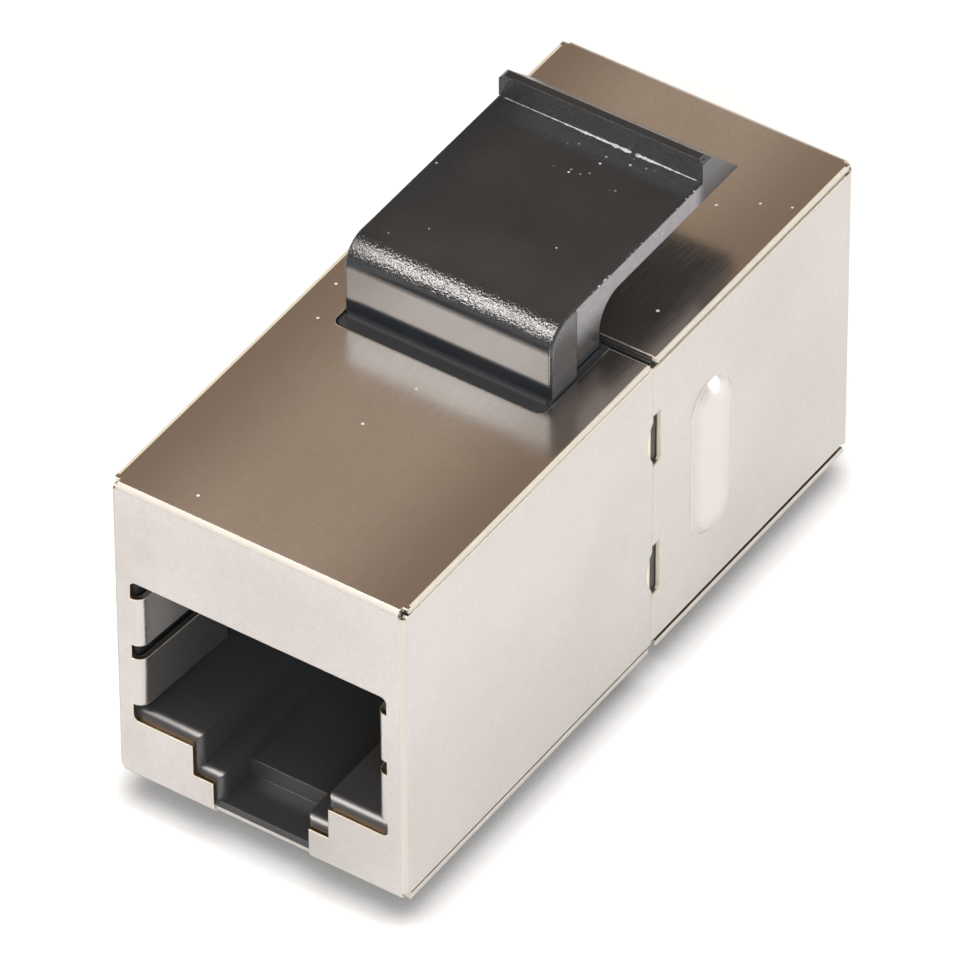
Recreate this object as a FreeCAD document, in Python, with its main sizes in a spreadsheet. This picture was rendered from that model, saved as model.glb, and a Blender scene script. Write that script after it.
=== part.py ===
import FreeCAD, Part
import math
import os
import re
import Sketcher

# Shielded feed-through keystone jack, in millimetres.
# X runs across, Y from the front socket to the rear one, and Z up. The origin lies under the middle of
# the part, level with the foot of the fixed catch, which is the lowest point.
# Heights are measured from the underside of the shields unless a note says otherwise, and depths from
# the face of the socket that they belong to.

SIZES = {
    # folded shields
    "shell_width": 14.5,
    "shell_height": 16.2,
    "shell_depth": 33.8,
    "sheet_gauge": 0.25,
    "bend_radius": 0.35,
    "front_flap_gap": 0.12,
    "rear_flap_gap": 0.24,
    "flap_setback": 0.26,
    "relief_radius": 0.24,
    "relief_inset": 0.2,
    "seam_offset": 1.52,
    "seam_gap": 0.05,
    # mouth punched in each face plate
    "mouth_width": 12.74,
    "mouth_sill": 3.3,
    "mouth_top": 11.1,
    "mouth_corner": 0.3,
    "mouth_step_width": 6.8,
    "mouth_step_sill": 1.68,
    "mouth_slot_width": 4.8,
    # ground fingers bent in from the sides of the mouth
    "finger_sill": 4.2,
    "finger_height": 2.6,
    "finger_pitch": 3.35,
    "finger_reach": 5.5,
    "finger_root_gap": 11.7,
    "finger_tip_gap": 10.9,
    "finger_bend": 0.5,
    # tongue of the front shield that laps inside each side of the rear shield
    "tongue_height": 3.2,
    "tongue_lap": 1.2,
    "tongue_reach": 1.8,
    "tongue_slope": 0.4,
    # notches in the seam edge of the rear shield, and the dishes staked beside them in the front one
    "notch_height": 2.9,
    "notch_spread": 7.3,
    "notch_depth": 0.6,
    "notch_corner": 0.15,
    "dish_radius": 1.75,
    "dish_width": 0.42,
    "dish_depth": 0.12,
    "dish_wall": 0.12,
    # bead pressed out of each side of the rear shield
    "bead_setback": 2.95,
    "bead_width": 2.9,
    "bead_height": 8.4,
    "bead_rise": 0.55,
    "bead_drop": 0.3,
    # plastic housings
    "fit_gap": 0.04,
    "end_gap": 0.1,
    "cavity_width": 12.7,
    "cavity_floor": 3.75,
    "cavity_roof": 10.9,
    "cavity_edge": 0.42,
    "plug_depth": 12.4,
    "plug_step_width": 6.3,
    "plug_step_floor": 2.05,
    "plug_slot_width": 4.2,
    "plug_slot_floor": 0.6,
    "plug_sill_height": 1.45,
    "plug_sill_depth": 2.35,
    "bay_width": 8.8,
    "bay_roof": 12.6,
    "bay_start": 2.6,
    "side_wall": 0.9,
    "floor_wall": 0.9,
    "roof_wall": 1.2,
    # keystone latch, with heights measured from the top of the shields
    "latch_width": 10.3,
    "latch_step": 0.06,
    "latch_front_length": 1.9,
    "latch_setback": 0.45,
    "latch_root_length": 4.0,
    "latch_top": 3.75,
    "latch_arm_gauge": 1.38,
    "latch_bend": 1.25,
    "latch_fillet": 1.1,
    "latch_chamfer": 0.35,
    "latch_edge": 0.18,
    "latch_base": 0.3,
    "groove_foot": 0.28,
    "groove_height": 0.2,
    "groove_depth": 0.2,
    "latch_reach": 11.4,
    "lip_rise": 1.2,
    "lip_land": 0.4,
    "lip_length": 2.7,
    "lip_tip": 0.4,
    "lip_corner": 0.25,
    "foot_margin": 0.75,
    "foot_recess": 0.08,
    "slot_clearance": 0.08,
    "slot_corner": 0.4,
    # fixed catch under the front housing
    "catch_drop": 1.3,
    "catch_width": 10.3,
    "catch_setback": 0.25,
    "catch_length": 2.4,
    "catch_land": 1.5,
    # board and contacts
    "board_gauge": 1.6,
    "board_hole": 0.28,
    "contact_pitch": 1.02,
    "contact_width": 0.36,
    "contact_gauge": 0.3,
    "contact_clearance": 0.03,
    "contact_headroom": 0.15,
    "contact_front": 3.0,
    "contact_drop": 1.5,
    "contact_tip": 10.2,
    "contact_lean": 19,
    "contact_jog": 1.2,
    "contact_bend": 0.3,
    "front_tail_drop": 0.55,
    "rear_tail_drop": 1.35,
    "tail_setback": 0.2,
}
CONTACTS = 8

# Places that several pieces share, worked out from the sizes.
PLACES = {
    "shell_half": "shell_width / 2",
    "shell_floor": "catch_drop",
    "shell_top": "catch_drop + shell_height",
    "shell_middle": "catch_drop + shell_height / 2",
    "housing_half": "shell_half - sheet_gauge - fit_gap",
    "housing_floor": "shell_floor + sheet_gauge",
    "housing_top": "shell_top - sheet_gauge - fit_gap",
    "seat_half": "housing_half - side_wall",
    "seat_floor": "housing_floor + floor_wall",
    "seat_roof": "housing_top - roof_wall",
    "tongue_half": "shell_half - 2 * sheet_gauge",
    "bead_curve": "bead_width * bead_width / (8 * bead_rise) + bead_rise / 2",
    "seam_depth": "shell_depth / 2 + seam_offset",
    "front_shell_length": "seam_depth - seam_gap / 2",
    "rear_shell_length": "shell_depth - seam_depth - seam_gap / 2",
    "latch_back": "front_shell_length - latch_setback",
    "latch_front": "latch_back - latch_root_length",
    "latch_under": "latch_top - latch_arm_gauge",
    "lip_front": "latch_front + latch_reach",
    "lip_back": "lip_front + lip_length",
    "foot_front": "latch_front - foot_margin",
    "catch_back": "front_shell_length - catch_setback",
    "catch_front": "catch_back - catch_length",
    "carrier_back": "shell_depth / 2 - board_gauge / 2",
    "run_top": "shell_floor + bay_roof - contact_headroom",
    "first_contact": "-contact_pitch * %d / 2" % (CONTACTS - 1),
}

NEAR = 1e-5
doc = FreeCAD.newDocument("KeystoneJack")


def fill_sheet():
    """Write the driving sizes to the spreadsheet, one alias each."""
    sheet = doc.addObject("Spreadsheet::Sheet", "Sizes")
    for row, (name, value) in enumerate(SIZES.items(), start=1):
        sheet.set(f"A{row}", name)
        sheet.set(f"B{row}", str(value))
        sheet.setAlias(f"B{row}", name)
    doc.recompute()


def formula(text):
    """Turn the plain names in a formula into references to the spreadsheet."""
    def swap(match):
        word = match.group(0)
        if word in SIZES:
            return "Sizes." + word
        if word in PLACES:
            return "(" + formula(PLACES[word]) + ")"
        return word
    return re.sub(r"[a-z][a-z_]*", swap, text)


class Port:
    """One end of the coupler, with depths that run inwards from its face."""

    def __init__(self, name, front):
        self.name = name
        self.front = front
        self.shell_length = name + "_shell_length"
        self.flap_gap = name + "_flap_gap"
        self.tail_drop = name + "_tail_drop"
        self.housing_end = self.shell_length + " - end_gap"

    def y(self, depth):
        """The place on the Y axis of a depth."""
        if self.front:
            return f"({depth}) - shell_depth / 2"
        return f"shell_depth / 2 - ({depth})"


FRONT = Port("front", True)
REAR = Port("rear", False)
SIDES = (("Left", "-"), ("Right", "+"))


def new_body(label):
    """Start a sub-part."""
    body = doc.addObject("PartDesign::Body", label)
    body.Label = label
    return body


def origin_feature(body, role):
    """One of a body's own origin planes or axes."""
    return next(item for item in body.Origin.OriginFeatures if item.Role == role)


def new_sketch(body, name, plane, offset):
    """A sketch on an origin plane of the body, moved along the plane's normal."""
    sketch = body.newObject("Sketcher::SketchObject", name)
    sketch.AttachmentSupport = (origin_feature(body, plane), [""])
    sketch.MapMode = "FlatFace"
    sketch.setExpression("AttachmentOffset.Base.z", formula(offset))
    return sketch


def cross_sketch(body, name, port, depth):
    """A sketch across the coupler at a depth from a port's face; it reads X and Z."""
    return new_sketch(body, name, "XZ_Plane", f"-({port.y(depth)})")


def plan_sketch(body, name, height):
    """A level sketch; it reads X and Y."""
    return new_sketch(body, name, "XY_Plane", height)


def side_sketch(body, name, across):
    """A sketch along the coupler seen from the side; it reads Y and Z."""
    return new_sketch(body, name, "YZ_Plane", across)


def pin(sketch, item, point, across, up):
    """Hold a point of a sketch at the place that two formulas give."""
    now = sketch.getPoint(item, point)
    for kind, text, value in (("DistanceX", across, now.x), ("DistanceY", up, now.y)):
        place = sketch.addConstraint(Sketcher.Constraint(kind, -1, 1, item, point, value))
        sketch.setExpression(f"Constraints[{place}]", formula(text))


def size_round(sketch, item, radius):
    """Give a circle or an arc its radius."""
    place = sketch.addConstraint(Sketcher.Constraint("Radius", item, 1.0))
    sketch.setExpression(f"Constraints[{place}]", formula(radius))


def outline(sketch, points):
    """Draw a closed outline of straight lines through points, each a pair of formulas."""
    first = sketch.GeometryCount
    count = len(points)
    seeds = []
    for index in range(count):
        turn = 2 * math.pi * index / count
        seeds.append(FreeCAD.Vector(math.cos(turn), math.sin(turn), 0))
    for index in range(count):
        sketch.addGeometry(Part.LineSegment(seeds[index], seeds[(index + 1) % count]), False)
    for index, (across, up) in enumerate(points):
        following = first + (index + 1) % count
        sketch.addConstraint(Sketcher.Constraint("Coincident", first + index, 2, following, 1))
        pin(sketch, first + index, 1, across, up)


def rectangle(sketch, left, right, low, high):
    """Draw a rectangle between four formulas."""
    outline(sketch, [(left, low), (right, low), (right, high), (left, high)])


def circle(sketch, across, up, radius):
    """Draw a circle about a point given by two formulas."""
    ring = sketch.addGeometry(Part.Circle(FreeCAD.Vector(0, 0, 0), FreeCAD.Vector(0, 0, 1), 1), False)
    pin(sketch, ring, 3, across, up)
    size_round(sketch, ring, radius)


def half_capsule(sketch, across, low, high, radius):
    """Draw one half of an upright capsule between two centres, closed along its axis."""
    arcs = []
    for centre, start in ((-2, -math.pi / 2), (2, 0)):
        rim = Part.Circle(FreeCAD.Vector(0, centre, 0), FreeCAD.Vector(0, 0, 1), 1)
        arcs.append(sketch.addGeometry(Part.ArcOfCircle(rim, start, start + math.pi / 2), False))
    for begin, finish in (arcs, arcs[::-1]):
        run = Part.LineSegment(sketch.getPoint(begin, 2), sketch.getPoint(finish, 1))
        line = sketch.addGeometry(run, False)
        sketch.addConstraint(Sketcher.Constraint("Coincident", begin, 2, line, 1))
        sketch.addConstraint(Sketcher.Constraint("Coincident", line, 2, finish, 1))
    for arc, up, level_end in zip(arcs, (low, high), (2, 1)):
        pole = 3 - level_end
        sketch.addConstraint(Sketcher.Constraint("Horizontal", arc, level_end, arc, 3))
        sketch.addConstraint(Sketcher.Constraint("Vertical", arc, pole, arc, 3))
        pin(sketch, arc, 3, across, up)
        size_round(sketch, arc, radius)


def cove(sketch, across, up, radius):
    """Draw the section of a hollow rounding in a corner, with its wall behind it and its floor below."""
    rim = Part.Circle(FreeCAD.Vector(-1, 1, 0), FreeCAD.Vector(0, 0, 1), 1)
    arc = sketch.addGeometry(Part.ArcOfCircle(rim, -math.pi / 2, 0), False)
    corner = FreeCAD.Vector(0, 0, 0)
    floor = sketch.addGeometry(Part.LineSegment(sketch.getPoint(arc, 1), corner), False)
    wall = sketch.addGeometry(Part.LineSegment(corner, sketch.getPoint(arc, 2)), False)
    for first, end, second, start in ((arc, 1, floor, 1), (floor, 2, wall, 1), (wall, 2, arc, 2)):
        sketch.addConstraint(Sketcher.Constraint("Coincident", first, end, second, start))
    sketch.addConstraint(Sketcher.Constraint("Vertical", arc, 1, arc, 3))
    sketch.addConstraint(Sketcher.Constraint("Horizontal", arc, 2, arc, 3))
    pin(sketch, floor, 2, across, up)
    size_round(sketch, arc, radius)
    sketch.addConstraint(Sketcher.Constraint("Horizontal", floor))
    sketch.addConstraint(Sketcher.Constraint("Vertical", wall))


def axle(sketch, start, finish):
    """Draw a construction line between two points, each a pair of formulas, to turn an outline about."""
    seed = Part.LineSegment(FreeCAD.Vector(0, 0, 0), FreeCAD.Vector(1, 1, 0))
    line = sketch.addGeometry(seed, True)
    for end, (across, up) in enumerate((start, finish), start=1):
        pin(sketch, line, end, across, up)


def extrude(kind, sketch, length, reverse, symmetric):
    """Pad or pocket a sketch over a length given by a formula."""
    body = sketch.getParentGeoFeatureGroup()
    feature = body.newObject("PartDesign::" + kind, sketch.Label + kind)
    feature.Profile = sketch
    feature.setExpression("Length", formula(length))
    feature.Reversed = reverse
    if symmetric:
        feature.SideType = "Symmetric"
    doc.recompute()
    return feature


def turn(kind, sketch):
    """Turn a sketch all the way round its construction line, to add or to cut."""
    body = sketch.getParentGeoFeatureGroup()
    feature = body.newObject("PartDesign::" + kind, sketch.Label + kind)
    feature.Profile = sketch
    feature.ReferenceAxis = (sketch, ["Axis0"])
    doc.recompute()
    return feature


def pad(sketch, length, reverse=False, symmetric=False):
    """Add material along the sketch's normal."""
    return extrude("Pad", sketch, length, reverse, symmetric)


def pocket(sketch, length, reverse=False, symmetric=False):
    """Cut against the sketch's normal, and make sure that something was cut."""
    before = sketch.getParentGeoFeatureGroup().Shape.Volume
    feature = extrude("Pocket", sketch, length, reverse, symmetric)
    if feature.Shape.Volume > before - NEAR:
        raise RuntimeError(f"{sketch.Label} cuts nothing")
    return feature


def corner_edges(feature, sketch, corners):
    """Names of the straight edges that stand on numbered corners of a sketch's outlines."""
    normal = sketch.Placement.Rotation.multVec(FreeCAD.Vector(0, 0, 1))
    names = []
    for corner in corners:
        point = sketch_corner(sketch, corner)
        for number, edge in enumerate(feature.Shape.Edges, start=1):
            if not isinstance(edge.Curve, Part.Line):
                continue
            away = point - edge.Vertexes[0].Point
            along = edge.Curve.Direction
            if along.cross(normal).Length < NEAR and away.cross(along).Length < NEAR:
                names.append(f"Edge{number}")
    return names


def level_edges(feature, axis, place):
    """Edges that lie wholly at one place along an axis, by name."""
    found = {}
    for number, edge in enumerate(feature.Shape.Edges, start=1):
        points = edge.discretize(3)
        if all(abs(getattr(point, axis) - place) < NEAR for point in points):
            found[f"Edge{number}"] = edge
    return found


def sketch_corner(sketch, corner):
    """Where a numbered corner of a sketch stands."""
    return sketch.Placement.multVec(sketch.getPoint(corner, 1))


def dress(kind, size_name, base, edges, size):
    """Round or chamfer named edges of a feature."""
    body = base.getParentGeoFeatureGroup()
    feature = body.newObject("PartDesign::" + kind, base.Label + kind)
    feature.Base = (base, edges)
    feature.setExpression(size_name, formula(size))
    doc.recompute()
    return feature


def fillet(base, edges, radius):
    """Round edges."""
    return dress("Fillet", "Radius", base, edges, radius)


def chamfer(base, edges, size):
    """Bevel edges."""
    return dress("Chamfer", "Size", base, edges, size)


def repeat_across(feature, spacing, count):
    """Repeat a feature along X."""
    body = feature.getParentGeoFeatureGroup()
    pattern = body.newObject("PartDesign::LinearPattern", feature.Label + "Row")
    pattern.Originals = [feature]
    pattern.Direction = (origin_feature(body, "X_Axis"), [""])
    pattern.Mode = "Spacing"
    pattern.setExpression("Offset", formula(spacing))
    pattern.Occurrences = count
    body.Tip = pattern
    doc.recompute()
    return pattern


def notch_levels():
    """Middle of each notch in the seam, low and high."""
    return [f"shell_middle {sign} notch_spread / 2" for sign in "-+"]


def start_shield(port):
    """Block of a shield's outer form, with the bends round its face."""
    body = new_body(port.name + "_shield")
    face = cross_sketch(body, "Face", port, "0")
    rectangle(face, "-shell_half", "shell_half", "shell_floor", "shell_top")
    blank = pad(face, port.shell_length, reverse=port.front)
    fillet(blank, list(level_edges(blank, "y", sketch_corner(face, 0).y)), "bend_radius")
    return body


def part_flaps(body, port):
    """Leave a face plate with four flaps bent back from it, parted along the long edges."""
    hollow = cross_sketch(body, "Hollow", port, port.shell_length)
    rectangle(hollow, "-shell_half + sheet_gauge", "shell_half - sheet_gauge",
              "shell_floor + sheet_gauge", "shell_top - sheet_gauge")
    pocket(hollow, port.shell_length + " - sheet_gauge", reverse=port.front)

    slits = cross_sketch(body, "Slits", port, port.shell_length)
    for left, right in (("-shell_half - sheet_gauge", "-shell_half + 2 * sheet_gauge"),
                        ("shell_half - 2 * sheet_gauge", "shell_half + sheet_gauge")):
        rectangle(slits, left, right, "shell_floor + sheet_gauge",
                  "shell_floor + sheet_gauge + " + port.flap_gap)
        rectangle(slits, left, right, f"shell_top - sheet_gauge - {port.flap_gap}", "shell_top - sheet_gauge")
    pocket(slits, port.shell_length + " - bend_radius", reverse=port.front)

    ends = cross_sketch(body, "FlapEnds", port, port.shell_length)
    for low, high in (("shell_floor - sheet_gauge", f"shell_floor + sheet_gauge + {port.flap_gap} / 2"),
                      (f"shell_top - sheet_gauge - {port.flap_gap} / 2", "shell_top + sheet_gauge")):
        rectangle(ends, "-shell_half - sheet_gauge", "shell_half + sheet_gauge", low, high)
    pocket(ends, "flap_setback", reverse=port.front)


def relieve_corners(body, port):
    """Round holes from the sides where three bends meet, at the ends of the slits."""
    for name, side in SIDES:
        relief = side_sketch(body, name + "Relief", side + "shell_half")
        for height in ("shell_floor + relief_inset", "shell_top - relief_inset"):
            circle(relief, port.y("relief_inset"), height, "relief_radius")
        pocket(relief, "sheet_gauge + fit_gap", reverse=side == "-")


def punch_mouth(body, port):
    """Stepped plug opening, cut on through the bottom bend."""
    mouth = cross_sketch(body, "Mouth", port, "0")
    outline(mouth, [
        ("-mouth_width / 2", "shell_floor + mouth_sill"),
        ("-mouth_step_width / 2", "shell_floor + mouth_sill"),
        ("-mouth_step_width / 2", "shell_floor + mouth_step_sill"),
        ("-mouth_slot_width / 2", "shell_floor + mouth_step_sill"),
        ("-mouth_slot_width / 2", "shell_floor - bend_radius"),
        ("mouth_slot_width / 2", "shell_floor - bend_radius"),
        ("mouth_slot_width / 2", "shell_floor + mouth_step_sill"),
        ("mouth_step_width / 2", "shell_floor + mouth_step_sill"),
        ("mouth_step_width / 2", "shell_floor + mouth_sill"),
        ("mouth_width / 2", "shell_floor + mouth_sill"),
        ("mouth_width / 2", "shell_floor + mouth_top"),
        ("-mouth_width / 2", "shell_floor + mouth_top"),
    ])
    cut = pocket(mouth, "sheet_gauge + fit_gap", reverse=not port.front)
    fillet(cut, corner_edges(cut, mouth, (0, 9, 10, 11)), "mouth_corner")


def bend_fingers(body, port):
    """Two ground fingers on each side of the mouth, bent inwards over a round bend."""
    for level in range(2):
        height = f"shell_floor + finger_sill + {level} * finger_pitch"
        fingers = plan_sketch(body, f"Fingers{level}", height)
        for side in "-+":
            outline(fingers, [
                (f"{side}mouth_width / 2", port.y("0")),
                (f"{side}finger_root_gap / 2", port.y("0")),
                (f"{side}finger_tip_gap / 2", port.y("finger_reach")),
                (f"{side}(finger_tip_gap / 2 + sheet_gauge)", port.y("finger_reach")),
                (f"{side}(finger_root_gap / 2 + sheet_gauge)", port.y("sheet_gauge")),
                (f"{side}mouth_width / 2", port.y("sheet_gauge")),
            ])
        last = pad(fingers, "finger_height")
    last = fillet(last, corner_edges(last, fingers, (1, 7)), "finger_bend")
    fillet(last, corner_edges(last, fingers, (4, 10)), "finger_bend - sheet_gauge")


def cut_latch_slots(body):
    """Slots in the top and bottom flaps, open at the seam, for the latch and the fixed catch."""
    half = "(latch_width / 2 + slot_clearance)"
    latch = plan_sketch(body, "LatchSlot", "shell_top")
    rectangle(latch, "-" + half, half, FRONT.y("foot_front - slot_clearance"), FRONT.y("seam_depth"))
    cut = pocket(latch, "2 * sheet_gauge")
    fillet(cut, corner_edges(cut, latch, (0, 1)), "slot_corner")

    half = "(catch_width / 2 + slot_clearance)"
    catch = plan_sketch(body, "CatchSlot", "shell_floor")
    rectangle(catch, "-" + half, half, FRONT.y("catch_front - slot_clearance"), FRONT.y("seam_depth"))
    pocket(catch, "2 * sheet_gauge", reverse=True)


def stake_dishes(body):
    """Round, flat-floored dishes staked in the seam edge of the side flaps, beside the notches."""
    rim = FRONT.y("front_shell_length - dish_width")
    middle = FRONT.y("front_shell_length - dish_width + dish_radius")
    for number, level in enumerate(notch_levels()):
        for name, side in SIDES:
            dish = plan_sketch(body, f"{name}Dish{number}", level)
            face = f"{side}shell_half"
            floor = f"{side}(shell_half - dish_depth)"
            axle(dish, (face, middle), (floor, middle))
            outline(dish, [(face, rim), (face, middle), (floor, middle), (floor, rim + " + dish_wall")])
            turn("Groove", dish)


def add_tongues(body):
    """Tongue on each side flap that laps inside the rear shield."""
    tongues = plan_sketch(body, "Tongues", "shell_middle - tongue_height / 2")
    for side in "-+":
        outline(tongues, [
            (f"{side}(shell_half - sheet_gauge)", FRONT.y("front_shell_length - tongue_lap")),
            (f"{side}(shell_half - sheet_gauge)", FRONT.y("front_shell_length + tongue_reach")),
            (f"{side}tongue_half", FRONT.y("front_shell_length + tongue_reach")),
            (f"{side}tongue_half", FRONT.y("front_shell_length - tongue_lap + tongue_slope")),
        ])
    pad(tongues, "tongue_height")


def cut_notches(body):
    """Notches in the seam edge of the rear shield's side flaps."""
    notches = side_sketch(body, "Notches", "0")
    edge = REAR.y("rear_shell_length")
    for level in notch_levels():
        rectangle(notches, edge + " - seam_gap", edge + " + notch_depth",
                  level + " - notch_height / 2", level + " + notch_height / 2")
    cut = pocket(notches, "2 * shell_width", symmetric=True)
    fillet(cut, corner_edges(cut, notches, (1, 2, 5, 6)), "notch_corner")


def press_bead(body, kind, name, side, radius):
    """Round-ended bead along one side flap of the rear shield, added outside it or cut from behind."""
    bead = side_sketch(body, name, f"{side}(shell_half + bead_rise - bead_curve)")
    middle = REAR.y("rear_shell_length - bead_setback - bead_width / 2")
    low = "shell_middle - bead_drop - (bead_height - bead_width) / 2"
    high = "shell_middle - bead_drop + (bead_height - bead_width) / 2"
    axle(bead, (middle, low), (middle, high))
    half_capsule(bead, middle, low, high, radius)
    turn(kind, bead)


def make_front_shield():
    """The longer folded shield, with the slots for the latch and the catch."""
    body = start_shield(FRONT)
    part_flaps(body, FRONT)
    relieve_corners(body, FRONT)
    punch_mouth(body, FRONT)
    cut_latch_slots(body)
    stake_dishes(body)
    add_tongues(body)
    bend_fingers(body, FRONT)
    return body


def make_rear_shield():
    """The shorter folded shield behind the seam."""
    body = start_shield(REAR)
    for name, side in SIDES:
        press_bead(body, "Revolution", name + "Bead", side, "bead_curve")
    part_flaps(body, REAR)
    relieve_corners(body, REAR)
    for name, side in SIDES:
        press_bead(body, "Groove", name + "BeadBack", side, "(bead_curve - sheet_gauge)")
    punch_mouth(body, REAR)
    cut_notches(body)
    bend_fingers(body, REAR)
    return body


def on_outside(edge, box):
    """Whether an edge lies on the outer sides of a box, seen along Y."""
    middle = edge.valueAt((edge.FirstParameter + edge.LastParameter) / 2)
    gaps = (middle.x - box.XMin, box.XMax - middle.x, middle.z - box.ZMin, box.ZMax - middle.z)
    return min(gaps) < NEAR


def mould_socket(port):
    """Plastic socket body: plug cavity, latch steps, contact bay and the seat for the carrier."""
    body = new_body(port.name + "_housing")
    face = cross_sketch(body, "Face", port, "sheet_gauge")
    rectangle(face, "-housing_half", "housing_half", "housing_floor", "housing_top")
    pad(face, port.housing_end + " - sheet_gauge", reverse=port.front)

    cavity = cross_sketch(body, "Cavity", port, "sheet_gauge")
    outline(cavity, [
        ("-cavity_width / 2", "shell_floor + cavity_floor"),
        ("-plug_step_width / 2", "shell_floor + cavity_floor"),
        ("-plug_step_width / 2", "shell_floor + plug_step_floor"),
        ("-plug_slot_width / 2", "shell_floor + plug_step_floor"),
        ("-plug_slot_width / 2", "shell_floor + plug_sill_height"),
        ("plug_slot_width / 2", "shell_floor + plug_sill_height"),
        ("plug_slot_width / 2", "shell_floor + plug_step_floor"),
        ("plug_step_width / 2", "shell_floor + plug_step_floor"),
        ("plug_step_width / 2", "shell_floor + cavity_floor"),
        ("cavity_width / 2", "shell_floor + cavity_floor"),
        ("cavity_width / 2", "shell_floor + cavity_roof"),
        ("-cavity_width / 2", "shell_floor + cavity_roof"),
    ])
    pocket(cavity, "plug_depth - sheet_gauge", reverse=not port.front)

    slot = cross_sketch(body, "LatchWay", port, "sheet_gauge")
    rectangle(slot, "-plug_slot_width / 2", "plug_slot_width / 2",
              "shell_floor + plug_slot_floor", "shell_floor + plug_step_floor")
    mouth = pocket(slot, "plug_sill_depth - sheet_gauge", reverse=not port.front)
    rim = level_edges(mouth, "y", sketch_corner(face, 0).y)
    outer = mouth.Shape.BoundBox
    floor = sketch_corner(slot, 0).z
    inner = [name for name, edge in rim.items()
             if not on_outside(edge, outer) and edge.BoundBox.ZMax > floor + NEAR]
    fillet(mouth, inner, "cavity_edge")

    seat = cross_sketch(body, "Seat", port, port.housing_end)
    rectangle(seat, "-seat_half", "seat_half", "seat_floor", "seat_roof")
    pocket(seat, port.housing_end + " - plug_depth", reverse=port.front)

    bay = cross_sketch(body, "Bay", port, "plug_depth")
    rectangle(bay, "-bay_width / 2", "bay_width / 2", "shell_floor + cavity_roof - sheet_gauge",
              "shell_floor + bay_roof")
    pocket(bay, "plug_depth - bay_start", reverse=port.front)

    recess = plan_sketch(body, "TongueRoom", "shell_middle - tongue_height / 2 - fit_gap")
    low = FRONT.y("front_shell_length - tongue_lap - fit_gap")
    high = FRONT.y("front_shell_length + tongue_reach + fit_gap")
    for side in "-+":
        rectangle(recess, f"{side}(tongue_half - fit_gap)", f"{side}shell_half", low, high)
    pocket(recess, "tongue_height + 2 * fit_gap", reverse=True)
    return body


def lip_corners(feature, crest):
    """Names of the short edges at the two ends of the lip's crest, level with a point on it."""
    names = []
    for number, edge in enumerate(feature.Shape.Edges, start=1):
        along = edge.tangentAt(edge.FirstParameter)
        high = all(vertex.Point.z > crest.z - NEAR for vertex in edge.Vertexes)
        if high and abs(along.y) > 1 - NEAR:
            names.append(f"Edge{number}")
    return names


def add_latch(body):
    """Keystone latch: a root that rises through the shield, an arm to the rear and a lip across its end."""
    half = "(latch_width / 2)"
    foot = plan_sketch(body, "Foot", "housing_top")
    rectangle(foot, "-" + half, half, FRONT.y("foot_front"), FRONT.y(FRONT.housing_end))
    base = pad(foot, "shell_top - foot_recess - housing_top")
    fillet(base, corner_edges(base, foot, (0, 1)), "slot_corner")

    arm = side_sketch(body, "Arm", "0")
    outline(arm, [
        (FRONT.y("latch_front + latch_front_length / 2"), "housing_top"),
        (FRONT.y("latch_front + latch_front_length / 2"), "shell_top + latch_top"),
        (FRONT.y("lip_front"), "shell_top + latch_top"),
        (FRONT.y("lip_front"), "shell_top + latch_top + lip_rise"),
        (FRONT.y("lip_front + lip_land"), "shell_top + latch_top + lip_rise"),
        (FRONT.y("lip_back"), "shell_top + latch_under + lip_tip"),
        (FRONT.y("lip_back"), "shell_top + latch_under"),
        (FRONT.y("latch_back"), "shell_top + latch_under"),
        (FRONT.y("latch_back"), "housing_top"),
    ])
    bar = pad(arm, "latch_width - 2 * latch_step", symmetric=True)
    bar = fillet(bar, corner_edges(bar, arm, (7,)), "latch_fillet")

    underside = level_edges(bar, "z", sketch_corner(arm, 7).z)
    sides = [name for name, edge in underside.items()
             if abs(edge.tangentAt(edge.FirstParameter).y) > 1 - NEAR]
    bar = chamfer(bar, sides, "latch_chamfer")
    chamfer(bar, lip_corners(bar, sketch_corner(arm, 4)), "lip_corner")

    root = side_sketch(body, "Root", "0")
    rectangle(root, FRONT.y("latch_front"), FRONT.y("latch_front + latch_front_length"),
              "housing_top", "shell_top + latch_top")
    block = pad(root, "latch_width", symmetric=True)
    block = fillet(block, corner_edges(block, root, (3,)), "latch_bend")
    front = sketch_corner(root, 0).y
    upright = [name for name, edge in level_edges(block, "y", front).items()
               if abs(edge.tangentAt(edge.FirstParameter).z) > 1 - NEAR]
    fillet(block, upright, "latch_edge")

    base = side_sketch(body, "RootCove", "0")
    cove(base, FRONT.y("latch_front"), "shell_top - foot_recess", "latch_base")
    pad(base, "latch_width - 2 * latch_edge", symmetric=True)

    groove = plan_sketch(body, "RootGroove", "shell_top + groove_foot")
    for side in "-+":
        rectangle(groove, f"{side}(latch_width / 2 - latch_step - groove_depth)", f"{side}latch_width / 2",
                  FRONT.y("latch_front + latch_front_length"), FRONT.y("latch_back + groove_depth"))
    pocket(groove, "groove_height", reverse=True)


def add_catch(body):
    """Fixed catch under the front housing, opposite the latch."""
    catch = side_sketch(body, "Catch", "0")
    outline(catch, [
        (FRONT.y("catch_front"), "housing_floor"),
        (FRONT.y("catch_front"), "0"),
        (FRONT.y("catch_front + catch_land"), "0"),
        (FRONT.y("catch_back"), "catch_length - catch_land"),
        (FRONT.y("catch_back"), "housing_floor"),
    ])
    pad(catch, "catch_width", symmetric=True)


def make_front_housing():
    """Front socket, moulded in one with the latch and the fixed catch."""
    body = mould_socket(FRONT)
    add_latch(body)
    add_catch(body)
    return body


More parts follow.
